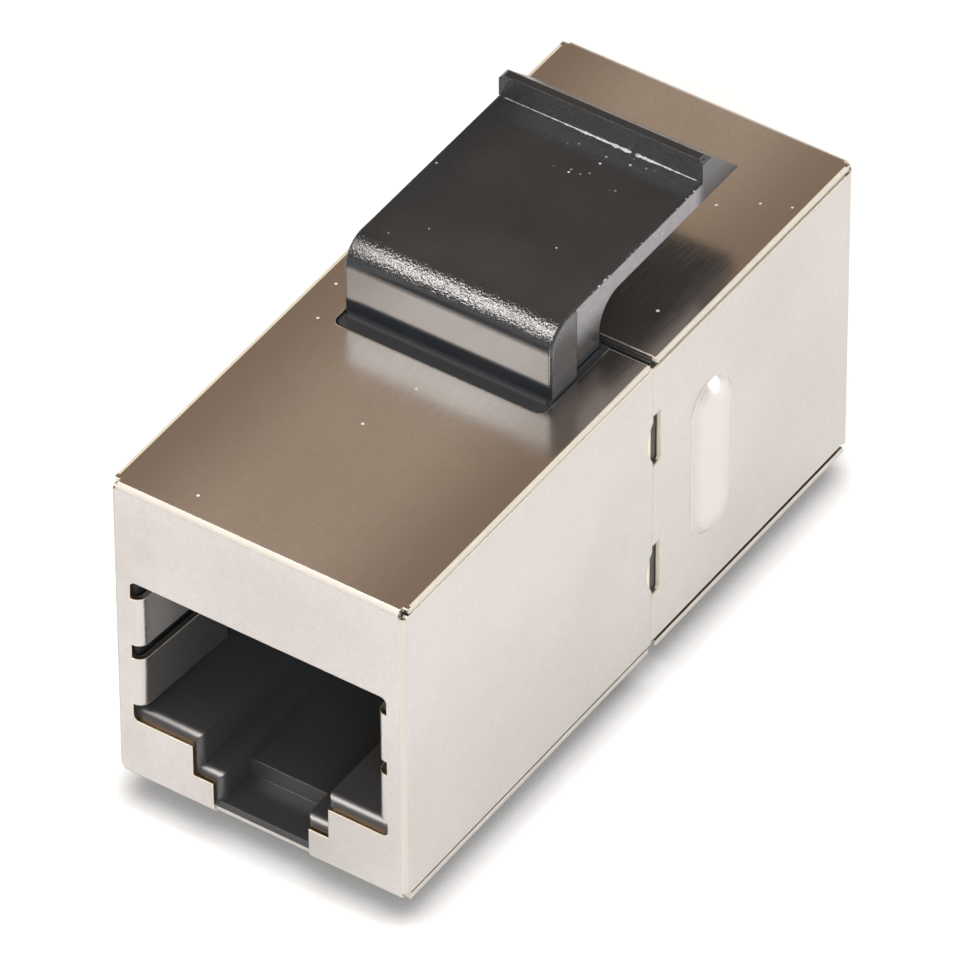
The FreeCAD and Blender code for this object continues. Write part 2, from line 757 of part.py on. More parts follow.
def make_carrier(port):
    """Comb behind the plug cavity that holds one set of contacts."""
    body = new_body(port.name + "_contact_carrier")
    face = cross_sketch(body, "Face", port, "plug_depth")
    rectangle(face, "-seat_half + fit_gap", "seat_half - fit_gap", "seat_floor", "shell_floor + bay_roof")
    pad(face, "carrier_back - plug_depth", reverse=port.front)

    groove = cross_sketch(body, "Groove", port, "plug_depth")
    half = "(contact_width / 2 + contact_clearance)"
    rectangle(groove, "first_contact - " + half, "first_contact + " + half,
              f"run_top - {port.tail_drop} - contact_gauge", "shell_floor + bay_roof + contact_gauge")
    cut = pocket(groove, "carrier_back - plug_depth", reverse=not port.front)
    repeat_across(cut, "contact_pitch", CONTACTS)
    return body


def make_board():
    """Board across the middle, with a row of holes for each set of contact tails."""
    body = new_body("circuit_board")
    face = new_sketch(body, "Face", "XZ_Plane", "0")
    rectangle(face, "-seat_half + fit_gap", "seat_half - fit_gap", "seat_floor", "seat_roof - fit_gap")
    pad(face, "board_gauge", symmetric=True)
    for port in (FRONT, REAR):
        hole = new_sketch(body, port.name.title() + "Hole", "XZ_Plane", "0")
        circle(hole, "first_contact", f"run_top - {port.tail_drop} - contact_gauge / 2", "board_hole")
        cut = pocket(hole, "2 * board_gauge", symmetric=True)
        repeat_across(cut, "contact_pitch", CONTACTS)
    return body


def make_contact(port, number):
    """Spring contact: tail in the board, run along the bay's roof, bend and spring into the cavity."""
    body = new_body(f"{port.name}_contact_{number}")
    tail_top = f"run_top - {port.tail_drop}"
    jog = "plug_depth + contact_jog"
    tail_end = "carrier_back + board_gauge - tail_setback"
    lean = "contact_lean * 1 deg"
    heel = "run_top - contact_drop"
    tip = f"{heel} - (contact_tip - contact_front) * tan({lean})"
    wire = side_sketch(body, "Wire", f"first_contact + {number - 1} * contact_pitch")
    outline(wire, [
        (port.y(tail_end), tail_top),
        (port.y(f"{jog} + contact_gauge"), tail_top),
        (port.y(f"{jog} + contact_gauge"), "run_top"),
        (port.y("contact_front"), "run_top"),
        (port.y("contact_front"), heel),
        (port.y("contact_tip"), tip),
        (port.y("contact_tip"), f"{tip} + contact_gauge / cos({lean})"),
        (port.y("contact_front + contact_gauge"),
         f"{heel} - contact_gauge * tan({lean}) + contact_gauge / cos({lean})"),
        (port.y("contact_front + contact_gauge"), "run_top - contact_gauge"),
        (port.y(jog), "run_top - contact_gauge"),
        (port.y(jog), f"{tail_top} - contact_gauge"),
        (port.y(tail_end), f"{tail_top} - contact_gauge"),
    ])
    strip = pad(wire, "contact_width", symmetric=True)
    strip = fillet(strip, corner_edges(strip, wire, (3, 4)), "contact_gauge + contact_bend / 2")
    fillet(strip, corner_edges(strip, wire, (7, 8)), "contact_bend / 2")
    return body


def write_parts(bodies):
    """Check every object, then write one STEP file for each sub-part."""
    doc.recompute()
    for item in doc.Objects:
        if "Invalid" in item.State or "Error" in item.State:
            raise RuntimeError(f"{item.Label} failed: {item.State}")
    for body in bodies:
        if body.Shape.isNull() or not body.Shape.isValid():
            raise RuntimeError(f"{body.Label} has no valid shape")
        if len(body.Shape.Solids) != 1:
            raise RuntimeError(f"{body.Label} is not one solid")
    os.makedirs("parts", exist_ok=True)
    for body in bodies:
        body.Shape.exportStep(f"parts/{body.Label}.step")


def main():
    fill_sheet()
    bodies = [make_front_shield(), make_rear_shield(), make_front_housing(), mould_socket(REAR)]
    bodies += [make_carrier(FRONT), make_carrier(REAR), make_board()]
    for port in (FRONT, REAR):
        bodies += [make_contact(port, number) for number in range(1, CONTACTS + 1)]
    write_parts(bodies)


main()
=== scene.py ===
"""Finishes, moulding flash, floor, light and camera of a shielded keystone jack."""
import math
import random

import bmesh
import bpy
from bpy.props import FloatProperty, FloatVectorProperty, IntProperty, PointerProperty
from mathutils import Matrix, Vector


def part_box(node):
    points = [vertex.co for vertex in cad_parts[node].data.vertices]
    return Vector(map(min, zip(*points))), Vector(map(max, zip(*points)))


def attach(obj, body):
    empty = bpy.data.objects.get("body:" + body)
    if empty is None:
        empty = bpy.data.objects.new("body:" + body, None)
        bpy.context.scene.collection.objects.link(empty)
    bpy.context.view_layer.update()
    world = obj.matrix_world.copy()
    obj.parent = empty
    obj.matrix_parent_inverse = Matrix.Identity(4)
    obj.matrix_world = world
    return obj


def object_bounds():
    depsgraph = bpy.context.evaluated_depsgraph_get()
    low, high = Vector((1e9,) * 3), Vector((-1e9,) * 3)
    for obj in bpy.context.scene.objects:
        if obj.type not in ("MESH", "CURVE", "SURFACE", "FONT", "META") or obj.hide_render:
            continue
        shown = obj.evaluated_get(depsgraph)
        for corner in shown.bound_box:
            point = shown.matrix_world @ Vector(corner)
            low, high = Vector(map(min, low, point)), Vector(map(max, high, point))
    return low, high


bl_info = {
    "name": "Keystone Jack Finishes",
    "version": (1, 0, 0),
    "blender": (4, 5, 0),
    "location": "View3D > Sidebar > Keystone Jack",
    "description": "Dresses a shielded keystone jack and sets it on a studio floor",
    "category": "Object",
}

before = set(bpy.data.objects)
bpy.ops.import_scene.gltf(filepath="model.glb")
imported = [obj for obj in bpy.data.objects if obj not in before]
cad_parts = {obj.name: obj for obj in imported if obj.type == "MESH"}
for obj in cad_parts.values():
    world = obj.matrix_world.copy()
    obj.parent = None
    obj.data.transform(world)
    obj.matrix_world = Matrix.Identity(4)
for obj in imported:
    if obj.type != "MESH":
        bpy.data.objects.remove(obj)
CAD_LOW, CAD_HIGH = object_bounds()

MM = 0.001
MM_PER_METRE = 1000.0
BODY = "root"
SHIELDS = ("front_shield", "rear_shield")
HOUSINGS = ("front_housing", "rear_housing")
CARRIERS = ("front_contact_carrier", "rear_contact_carrier")
CONTACTS = tuple(name for name in sorted(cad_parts) if "_contact_" in name and name not in CARRIERS)
BOARD = "circuit_board"
SHELL_LOW, SHELL_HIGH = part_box("front_shield")
SHELL_TOP = SHELL_HIGH.z
LATCH_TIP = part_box("front_housing")[1]

# The latch above the shield, as the housing is moulded.
LIP_LENGTH = 2.7 * MM
LIP_RISE = 1.2 * MM
ARM_GAUGE = 1.38 * MM
ARM_LENGTH = 9.5 * MM
ARM_HALF = 5.09 * MM
LIP_FRONT = LATCH_TIP.y - LIP_LENGTH
ARM_TOP = LATCH_TIP.z - LIP_RISE
ROOT_STEP = LIP_FRONT - ARM_LENGTH

# Gauge of the shields' sheet, and the places above in millimetres, in which the materials measure.
SHEET_MM = 0.25
HALF_MM = SHELL_HIGH.x * MM_PER_METRE
END_MM = -SHELL_LOW.y * MM_PER_METRE
TOP_MM = SHELL_TOP * MM_PER_METRE
BASE_MM = SHELL_LOW.z * MM_PER_METRE
LIP_MM = LIP_FRONT * MM_PER_METRE
STEP_MM = ROOT_STEP * MM_PER_METRE
ARM_HALF_MM = ARM_HALF * MM_PER_METRE
ARM_UNDER_MM = (ARM_TOP - ARM_GAUGE) * MM_PER_METRE

# Heights between which the lower ground fingers give way to the upper ones.
LOWER_FINGERS_MM, UPPER_FINGERS_MM = 8.0, 9.2

# Flash along the lip: share of its width that is sunk into the latch, where it is widest, in half widths
# of the arm from the left end, how narrow it gets, and how often it is torn away.
FLASH_SUNK = 0.15
FLASH_WIDEST = 1.2
FLASH_NARROWEST = 0.25
FLASH_TORN = 0.05

# Flakes on the arm: where they start and how far they spread, in lengths of the arm from the lip.
# One in three lies near the root, in this range of the spread, and the first is larger than the others.
FLAKES_START, FLAKES_SPREAD = 0.06, 0.9
FLAKES_NEAR_ROOT = (0.75, 0.95)
FIRST_FLAKE, OTHER_FLAKES = 1.3, 0.7

# How alike a rounded normal and the plain one are, where an edge counts in full and where it doesn't count.
FULL_EDGE, NO_EDGE = 0.8, 0.985

# Rays for each rounded edge and for the shade on the floor, and how open the floor is where that shade
# is full and where it ends.
RAYS = 4
FULL_SHADE, NO_SHADE = 0.58, 0.96

# The studio: where its walls end and its ceiling starts, as the sine of the angle above the horizon.
# Its front wall starts and is dark in full at these backward parts of a direction.
WALLS_END, CEILING_STARTS = 0.28, 0.5
FRONT_WALL_STARTS, FRONT_WALL_FULL = -0.4, -0.8
BLACK = (0.0, 0.0, 0.0, 1.0)
WHITE = (1.0, 1.0, 1.0, 1.0)
FLOOR_SIZE = 1.5

# The camera: the point that it turns about, and how far below and to the left of that it aims.
PIVOT = Vector((0.0, -0.25, 9.3)) * MM
AIM_LEFT, AIM_DOWN = 0.197 * MM, 0.487 * MM
SENSOR_WIDTH = 36.0
NEAREST, FARTHEST = 0.01, 10.0


def length(name, description, millimetres):
    """A size that a user may change, held in metres."""
    return FloatProperty(name=name, description=description, default=millimetres * MM, min=0.0,
                         unit="LENGTH", precision=5)


def share(name, description, value):
    """A number from nought to one."""
    return FloatProperty(name=name, description=description, default=value, min=0.0, max=1.0,
                         subtype="FACTOR")


def colour(name, description, value):
    """A colour in linear light."""
    return FloatVectorProperty(name=name, description=description, default=value, min=0.0, max=1.0,
                               size=3, subtype="COLOR")


def angle(name, description, degrees):
    """An angle, held in radians."""
    return FloatProperty(name=name, description=description, default=math.radians(degrees), unit="ROTATION")


def strength(name, description, value):
    """How bright a light is."""
    return FloatProperty(name=name, description=description, default=value, min=0.0, unit="POWER")


class ShieldFinish(bpy.types.PropertyGroup):
    """Nickel plating on the folded shields."""
    plate: colour("Plating", "Colour of the nickel plating", (0.755, 0.723, 0.701))
    tarnish: colour("Tarnish", "Colour where the plating has dulled", (0.70, 0.669, 0.645))
    # Stain and shade: this colour is real staining in the smears and the fine speckle, and painted shade
    # where it darkens the top towards its side edges.
    stain_and_shade: colour("Stain", "Colour of the stained margins and smears", (0.46, 0.42, 0.39))
    # Painted highlight: the bends are painted pale cream, with almost no metal, as the bright band that
    # light makes on them.
    bend: colour("Bends", "Colour where the sheet was stretched in folding", (0.63, 0.585, 0.515))
    # The raised beads are coloured paler than the plating.
    bead: colour("Beads", "Colour of the raised beads, rubbed bright", (0.82, 0.79, 0.75))
    # Painted highlight: the cut and rounded edges are painted near-white cream, partly the raw base metal at
    # the cut and partly the bright light they catch.
    edge: colour("Edges", "Colour of the rubbed cut edges", (0.97, 0.90, 0.74))
    mouth: colour("Mouth edges", "Colour of the punched edges of the mouths", (0.34, 0.24, 0.14))
    dust: colour("Dust", "Colour of dust specks on the plating", (0.9, 0.89, 0.87))
    metal: share("Metal", "How much of the plating shines as bare metal", 0.95)
    bend_metal: share("Bend metal", "How much of a bend shines as bare metal", 0.03)
    edge_metal: share("Edge metal", "How much of a cut edge shines as bare metal", 0.45)
    cut_metal: share("Cut metal", "How much of a raw cut face shines as bare metal", 0.35)
    finger_metal: share("Finger metal", "How much of a rubbed ground finger shines as bare metal", 0.72)
    roughness: share("Roughness", "Roughness of the satin plating", 0.2)
    bend_roughness: share("Bend roughness", "Roughness of the bends, stretched by the press", 0.55)
    bead_roughness: share("Bead roughness", "Roughness of the raised beads", 0.36)
    edge_roughness: share("Edge roughness", "Roughness of the rubbed cut edges", 0.38)
    finger_roughness: share("Finger roughness", "Roughness of the ground fingers, rubbed by plugs", 0.4)
    dust_roughness: share("Dust roughness", "Roughness of dust specks", 0.7)
    edge_radius: length("Edge radius", "Rounding of the cut edges of the sheet", 0.09)
    grain: length("Grain", "Size of the rolled grain in the sheet", 0.12)
    wave: length("Wave", "Width of the slow waves in the sheet", 9.0)


class PlasticFinish(bpy.types.PropertyGroup):
    """Black moulded plastic of the housings and the latch."""
    body: colour("Plastic", "Colour of the plastic", (0.020, 0.023, 0.027))
    # Painted light: the plastic inside the sockets is painted paler than the body, in place of the light
    # that reaches into them.
    inner: colour("Inner plastic", "Colour of the plastic inside the sockets", (0.048, 0.048, 0.051))
    bloom: colour("Bloom", "Colour of handled, dusty stretches", (0.027, 0.030, 0.034))
    scuff: colour("Scuffs", "Colour of the scraped sides of the arm", (0.46, 0.46, 0.485))
    dust: colour("Dust", "Colour of dust specks and flash", (0.80, 0.79, 0.78))
    roughness: share("Roughness", "Roughness of the textured faces", 0.17)
    polish: share("Polish", "Roughness of the polished front wall and root", 0.12)
    inner_roughness: share("Inner roughness", "Roughness of the plastic inside the sockets", 0.36)
    foot_roughness: share("Foot roughness", "Roughness of the foot of the latch", 0.55)
    arm_shine: share("Arm shine", "How strongly the arm of the latch mirrors", 0.62)
    wall_shine: share("Wall shine", "How strongly the front wall of the latch mirrors", 0.42)
    flange_shine: share("Flange shine", "How strongly the flat of the latch's foot mirrors", 0.3)
    # Painted shade: the crease above the foot mirrors little, so that it stays dark.
    crease_shine: share("Crease shine", "How strongly the dirty crease above that foot mirrors", 0.03)
    edge_radius: length("Edge radius", "Rounding of the moulded edges", 0.07)
    texture: length("Texture", "Size of the spark-eroded texture", 0.11)
    texture_depth: length("Texture depth", "Depth of the spark-eroded texture", 0.04)


class FlashLook(bpy.types.PropertyGroup):
    """Thin flash and loose flakes of plastic left on the latch."""
    width: length("Flash width", "Width of the flash along the lip", 0.18)
    step: length("Flash step", "Distance between changes in the flash", 0.16)
    flake: length("Flake size", "Size of the flakes along the edge of the arm", 0.1)
    flakes: IntProperty(name="Flakes", description="How many flakes hang on the edge of the arm", default=26,
                        min=0)
    seed: IntProperty(name="Seed", description="Which random pattern is drawn", default=7, min=0)


class InnerFinish(bpy.types.PropertyGroup):
    """Carriers, board and contacts inside the sockets."""
    carrier: colour("Carrier", "Colour of the contact carriers", (0.028, 0.028, 0.028))
    carrier_pale: colour("Pale carrier", "Colour of paler blots on the carriers", (0.04, 0.04, 0.041))
    board: colour("Board", "Colour of the solder mask", (0.035, 0.17, 0.08))
    track: colour("Tracks", "Colour of the solder mask over copper tracks", (0.06, 0.26, 0.13))
    gold: colour("Gold", "Colour of the contact plating", (0.83, 0.62, 0.25))
    gold_wear: colour("Gold wear", "Colour of the contacts where plugs have rubbed", (0.70, 0.56, 0.33))


class StageLook(bpy.types.PropertyGroup):
    """Floor, light and camera."""
    floor: colour("Floor", "Colour of the floor", (0.94, 0.94, 0.94))
    # Painted shadow: colour of the contact shade painted on the floor for the camera.
    shadow: colour("Contact shade", "Colour of the floor close under the jack", (0.03, 0.03, 0.03))
    glow: share("Floor glow", "How much the floor is lifted towards white where it is seen", 0.3)
    sheen: share("Floor sheen", "How much the floor is lifted where the plating mirrors it", 0.07)
    contact: length("Contact shadow", "How far round the jack the floor is shaded", 1.75)
    horizon: colour("Horizon", "Colour of the low studio walls", (0.95, 0.945, 0.94))
    front: colour("Front wall", "Colour of the low studio wall in front", (0.16, 0.155, 0.15))
    ceiling: colour("Ceiling", "Colour of the studio above the walls", (0.40, 0.296, 0.213))
    cool: colour("Lamp colour", "Colour of the large lamps, cool under a warm ceiling", (0.87, 0.94, 1.0))
    warm: colour("Card colour", "Colour of the card that shines on the latch", (1.0, 0.95, 0.9))
    azimuth: angle("Azimuth", "How far the camera stands to the right of the front", 34.044)
    elevation: angle("Elevation", "How high the camera looks down from", 42.177)
    roll: angle("Roll", "Tilt of the camera about its own line of sight", -0.247)
    distance: length("Distance", "From the camera to the point that it turns about", 502.15)
    lens: FloatProperty(name="Lens", description="Focal length in millimetres on a 36 mm sensor",
                        default=450.0, min=1.0, unit="CAMERA")
    overhead: strength("Overhead", "Power of the large light overhead, in watts", 2.5)
    fill: strength("Fill", "Power of the soft light that reaches into the socket, in watts", 2.3)
    key: strength("Key", "Power of the card that shines on the bend of the latch, in watts", 2.2)
    rim: strength("Rim", "Power of the card that shines on the beads and right-hand edges, in watts", 0.34)


class Finish:
    """A material that grows from one surface shader, with places measured in millimetres."""

    def __init__(self, name):
        self.material = bpy.data.materials.new(name)
        self.material.use_nodes = True
        self.tree = self.material.node_tree
        self.tree.nodes.clear()
        self.surface = self.add("ShaderNodeBsdfPrincipled")
        output = self.add("ShaderNodeOutputMaterial")
        self.join(self.surface.outputs["BSDF"], output.inputs["Surface"])
        self.coordinates = self.add("ShaderNodeTexCoord")
        scale = self.add("ShaderNodeVectorMath", operation="SCALE")
        scale.inputs["Scale"].default_value = MM_PER_METRE
        self.join(self.coordinates.outputs["Object"], scale.inputs[0])
        self.place = scale.outputs["Vector"]

    def add(self, kind, **settings):
        """A new node with some of its settings."""
        node = self.tree.nodes.new(kind)
        for name, value in settings.items():
            setattr(node, name, value)
        return node

    def join(self, source, target):
        """Link two sockets."""
        self.tree.links.new(source, target)

    def feed(self, target, value):
        """Link a socket to another, or set it to a plain value."""
        if isinstance(value, bpy.types.NodeSocket):
            self.join(value, target)
        else:
            target.default_value = value

    def axis(self, vector, name):
        """One axis of a vector."""
        split = self.add("ShaderNodeSeparateXYZ")
        self.join(vector, split.inputs["Vector"])
        return split.outputs[name]

    def along(self, name):
        """Where the surface is along one axis, in millimetres."""
        return self.axis(self.place, name)

    def facing(self, name):
        """How far the surface faces along one axis, from minus one to one."""
        return self.axis(self.coordinates.outputs["Normal"], name)

    def maths(self, operation, first, second=0.0):
        """Sum, product or comparison of two numbers."""
        node = self.add("ShaderNodeMath", operation=operation)
        self.feed(node.inputs[0], first)
        self.feed(node.inputs[1], second)
        return node.outputs["Value"]

    def unsigned(self, value):
        """A number without its sign."""
        return self.maths("ABSOLUTE", value)

    def product(self, first, *others):
        """Product of two numbers or more."""
        for other in others:
            first = self.maths("MULTIPLY", first, other)
        return first

    def ramp(self, value, low, high, start=0.0, finish=1.0):
        """A smooth step from start to finish as a value goes from low to high."""
        node = self.add("ShaderNodeMapRange", interpolation_type="SMOOTHSTEP")
        self.feed(node.inputs["Value"], value)
        for name, number in (("From Min", low), ("From Max", high), ("To Min", start), ("To Max", finish)):
            node.inputs[name].default_value = number
        return node.outputs["Result"]

    def band(self, value, low, high, soft):
        """One inside a band of values and nought outside it."""
        inside = self.ramp(value, low - soft, low + soft)
        return self.product(inside, self.ramp(value, high - soft, high + soft, 1.0, 0.0))

    def stretched(self, stretch, turn=(0.0, 0.0, 0.0)):
        """Places in millimetres, turned and then stretched along each axis."""
        node = self.add("ShaderNodeMapping")
        node.inputs["Rotation"].default_value = turn
        node.inputs["Scale"].default_value = [1.0 / part for part in stretch]
        self.join(self.place, node.inputs["Vector"])
        return node.outputs["Vector"]

    def noise(self, size, detail=2.0, place=None, rough=0.5):
        """Soft random mottle whose blots are about one size across, in millimetres."""
        node = self.add("ShaderNodeTexNoise")
        self.join(place or self.place, node.inputs["Vector"])
        node.inputs["Scale"].default_value = 1.0 / size
        node.inputs["Detail"].default_value = detail
        node.inputs["Roughness"].default_value = rough
        return node.outputs["Fac"]

    def specks(self, spacing, radius, kept):
        """Small round specks, of which only a share of the places hold one."""
        node = self.add("ShaderNodeTexVoronoi")
        self.join(self.place, node.inputs["Vector"])
        node.inputs["Scale"].default_value = 1.0 / spacing
        spot = self.ramp(node.outputs["Distance"], 0.6 * radius / spacing, radius / spacing, 1.0, 0.0)
        chance = self.add("ShaderNodeSeparateColor")
        self.join(node.outputs["Color"], chance.inputs["Color"])
        return self.product(spot, self.maths("LESS_THAN", chance.outputs["Red"], kept))

    def scratches(self, turn, spacing, run, cut):
        """Fine straight scratches across one direction."""
        place = self.stretched((run, spacing, spacing), turn)
        return self.ramp(self.noise(1.0, detail=1.0, place=place), cut, cut + 0.03)

    def blend(self, factor, first, second):
        """Blend of two numbers."""
        node = self.add("ShaderNodeMix")
        self.feed(node.inputs["Factor"], factor)
        self.feed(node.inputs["A"], first)
        self.feed(node.inputs["B"], second)
        return node.outputs["Result"]

    def mix(self, factor, first, second):
        """Blend of two colours."""
        node = self.add("ShaderNodeMix", data_type="RGBA")
        self.feed(node.inputs["Factor"], factor)
        self.feed(node.inputs["A"], first)
        self.feed(node.inputs["B"], second)
        return node.outputs["Result"]

    def bump(self, height, depth, normal=None):
        """Raise the surface by a height of nought to one times a depth in millimetres."""
        node = self.add("ShaderNodeBump")
        node.inputs["Distance"].default_value = depth * MM
        self.join(height, node.inputs["Height"])
        if normal:
            self.join(normal, node.inputs["Normal"])
        return node.outputs["Normal"]

    def rounded(self, radius):
        """Normal with sharp edges rounded to a radius in millimetres, and one where it bends away."""
        node = self.add("ShaderNodeBevel", samples=RAYS)
        node.inputs["Radius"].default_value = radius * MM
        plain = self.add("ShaderNodeNewGeometry")
        likeness = self.add("ShaderNodeVectorMath", operation="DOT_PRODUCT")
        self.join(node.outputs["Normal"], likeness.inputs[0])
        self.join(plain.outputs["Normal"], likeness.inputs[1])
        return node.outputs["Normal"], self.ramp(likeness.outputs["Value"], FULL_EDGE, NO_EDGE, 1.0, 0.0)

    def set(self, **sockets):
        """Set or link inputs of the surface shader, named in lower case."""
        for name, value in sockets.items():
            self.feed(self.surface.inputs[SOCKETS[name]], value)


SOCKETS = {
    "colour": "Base Color",
    "metal": "Metallic",
    "roughness": "Roughness",
    "normal": "Normal",
    "refraction": "IOR",
    "specular": "Specular IOR Level",
    "coat": "Coat Weight",
    "coat_roughness": "Coat Roughness",
    "glow": "Emission Color",
    "glow_strength": "Emission Strength",
}


def opaque(rgb):
    """A colour property as a shader colour."""
    return (*rgb, 1.0)


def bend_of(finish):
    """One where a shield faces between its flat sides, on the bends round its face plate."""
    most = finish.unsigned(finish.facing("X"))
    for name in "YZ":
        most = finish.maths("MAXIMUM", most, finish.unsigned(finish.facing(name)))
    return finish.ramp(most, 0.85, 0.985, 1.0, 0.0)


def mouth_space(finish, across):
    """One inside the mouths, well clear of the outer walls of the shields."""
    between = finish.band(finish.along("Z"), BASE_MM + 0.8, TOP_MM - 0.8, 0.2)
    return finish.product(finish.ramp(across, HALF_MM - 0.7, HALF_MM - 0.5, 1.0, 0.0), between)


def finger_of(finish, inside):
    """One at the roots of the ground fingers, inside the mouth, and less towards their tips."""
    from_middle = finish.unsigned(finish.along("Y"))
    behind = finish.ramp(from_middle, END_MM - 0.6, END_MM - 0.2, 1.0, 0.0)
    rubbed = finish.ramp(from_middle, END_MM - 5.0, END_MM - 0.8, 0.05, 1.0)
    upper = finish.ramp(finish.along("Z"), LOWER_FINGERS_MM, UPPER_FINGERS_MM, 0.15, 1.0)
    return finish.product(inside, behind, rubbed, upper)


def cut_of(finish, across):
    """One on the raw cut edges and staked dishes of the side flaps, which lie inside their outer faces."""
    outermost = finish.maths("GREATER_THAN", across, HALF_MM - 0.03)
    outer = finish.product(finish.unsigned(finish.facing("X")), outermost)
    raw = finish.ramp(outer, 0.7, 0.95, 1.0, 0.0)
    lying = finish.ramp(finish.facing("Z"), 0.7, 0.95)
    covered = finish.product(lying, finish.maths("LESS_THAN", across, HALF_MM - 0.13))
    raw = finish.maths("SUBTRACT", raw, covered)
    flap = finish.band(across, HALF_MM - SHEET_MM - 0.02, HALF_MM + 0.01, 0.005)
    clear_of_ends = finish.maths("LESS_THAN", finish.unsigned(finish.along("Y")), END_MM - 0.6)
    # The lowest edges, which lie in shade, get no painted highlight.
    clear_of_base = finish.maths("GREATER_THAN", finish.along("Z"), BASE_MM + 0.6)
    return finish.product(raw, flap, clear_of_ends, clear_of_base)


def mouth_of(finish, across):
    """One on the punched edges of the mouths, inside the thickness of the face plates."""
    plate = finish.band(finish.unsigned(finish.along("Y")), END_MM - SHEET_MM - 0.02, END_MM + 0.1, 0.01)
    punched = finish.ramp(finish.unsigned(finish.facing("Y")), 0.2, 0.5, 1.0, 0.0)
    level = finish.band(finish.along("Z"), BASE_MM + 0.5, TOP_MM - 0.5, 0.05)
    inner = finish.ramp(across, HALF_MM - 0.75, HALF_MM - 0.6, 1.0, 0.0)
    return finish.product(plate, punched, level, inner)


def smear_of(finish):
    """Faint smears on the face plates, fading from left to right."""
    blots = finish.ramp(finish.noise(3.0, detail=5.0, rough=0.65), 0.4, 0.75, 0.0, 0.24)
    plate = finish.ramp(finish.unsigned(finish.facing("Y")), 0.9, 0.98)
    return finish.product(blots, plate, finish.ramp(finish.along("X"), -HALF_MM, HALF_MM, 1.0, 0.35))


def nickel_plate(look):
    """Satin nickel: slow waves, rolled grain, faint scratches, bright cut edges that are partly a painted
    highlight, painted highlights on the bends, painted shade on the top's margins, and a few dust specks.
    """
    finish = Finish("nickel_plate")
    grain_size = look.grain * MM_PER_METRE
    wave_size = look.wave * MM_PER_METRE
    normal, edge = finish.rounded(look.edge_radius * MM_PER_METRE)
    across = finish.unsigned(finish.along("X"))
    # Where each kind of finish lies.
    level = finish.ramp(finish.facing("Z"), 0.9, 0.98)
    # Painted shade: the top is darkened towards its side edges.
    shaded_margin = finish.product(level, finish.ramp(across, 0.25 * HALF_MM, HALF_MM))
    inside = mouth_space(finish, across)
    flat = finish.ramp(across, HALF_MM, HALF_MM + 0.02, 1.0, 0.0)
    # Painted highlight on the bends round the face plates.
    bend = finish.product(bend_of(finish), flat, finish.maths("SUBTRACT", 1.0, inside))
    bead = finish.ramp(across, HALF_MM + 0.02, HALF_MM + 0.35)
    finger = finger_of(finish, inside)
    mouth = mouth_of(finish, across)
    cut = cut_of(finish, across)
    # Edges rubbed to the base metal, with a painted highlight on them.
    worn_and_highlit = finish.maths("MAXIMUM", edge, cut)
    dull = finish.ramp(finish.noise(wave_size, detail=4.0), 0.35, 0.7)
    smear = smear_of(finish)
    speckle = finish.ramp(finish.noise(1.3 * grain_size, detail=4.0, rough=0.7), 0.3, 0.7, 0.0, 0.2)
    dust = finish.product(finish.specks(spacing=1.3, radius=0.09, kept=0.55), level)
    # Colour, from the plating up to the dust, with painted shade on the top's margins and painted highlights
    # on the bends and edges.
    shade = finish.mix(dull, opaque(look.plate), opaque(look.tarnish))
    for mask, rgb in ((shaded_margin, look.stain_and_shade), (smear, look.stain_and_shade), (speckle, look.stain_and_shade), (bend, look.bend),
                      (bead, look.bead), (worn_and_highlit, look.edge), (mouth, look.mouth), (dust, look.dust)):
        shade = finish.mix(mask, shade, opaque(rgb))
    # Gloss, streaked along the roll.
    streaks = finish.noise(1.0, place=finish.stretched((grain_size, 14.0 * grain_size, grain_size)))
    gloss = finish.ramp(streaks, 0.2, 0.8, look.roughness - 0.035, look.roughness + 0.05)
    for mask, roughness in ((dust, look.dust_roughness), (bend, look.bend_roughness),
                            (bead, look.bead_roughness), (finger, look.finger_roughness),
                            (worn_and_highlit, look.edge_roughness)):
        gloss = finish.blend(mask, gloss, roughness)
    metal = finish.ramp(dust, 0.0, 1.0, look.metal, 0.0)
    for mask, bare in ((bend, look.bend_metal), (finger, look.finger_metal), (edge, look.edge_metal),
                       (cut, look.cut_metal)):
        metal = finish.blend(mask, metal, bare)
    # Relief: slow waves, rolled grain and scratches, with their depths in millimetres.
    waves = finish.noise(wave_size, detail=1.0)
    grain = finish.noise(grain_size, detail=3.0)
    scuffs = finish.scratches(turn=(0.0, 0.0, 0.6), spacing=0.09, run=7.0, cut=0.68)
    for height, depth in ((waves, 0.05), (grain, 0.0009), (scuffs, 0.0006)):
        normal = finish.bump(height, depth, normal)
    finish.set(colour=shade, metal=metal, roughness=gloss, normal=normal)
    return finish.material


def scuffed_sides(finish, depth, height):
    """How far the latch's sides are scraped: most on the arm, and little under it, on the root and lip."""
    arm = finish.product(finish.ramp(depth, STEP_MM - 0.02, STEP_MM + 0.02),
                         finish.ramp(height, ARM_UNDER_MM - 1.3, ARM_UNDER_MM + 0.6, 0.1, 1.0))
    root = finish.ramp(depth, STEP_MM - 0.02, STEP_MM + 0.02, 0.22, 0.0)
    before_lip = finish.ramp(depth, LIP_MM - 0.6, LIP_MM + 0.2, 1.0, 0.2)
    streaks = finish.noise(1.0, detail=3.0, place=finish.stretched((0.3, 0.35, 0.06), turn=(0.5, 0.0, 0.0)))
    streaks = finish.ramp(streaks, 0.2, 0.8, 0.6, 1.0)
    return finish.product(streaks, finish.maths("MAXIMUM", arm, root), before_lip)


def latch_dust(finish, across, depth):
    """Scattered specks of dust, and a cluster of close ones before the lip."""
    cluster = finish.product(finish.band(depth, LIP_MM - 2.3, LIP_MM - 0.5, 0.5),
                             finish.band(across, -0.6, 2.7, 0.8),
                             finish.ramp(finish.noise(0.9, detail=1.0), 0.36, 0.5))
    close = finish.product(finish.specks(spacing=0.36, radius=0.075, kept=0.55), cluster)
    return finish.maths("MAXIMUM", finish.specks(spacing=1.0, radius=0.075, kept=0.32), close)


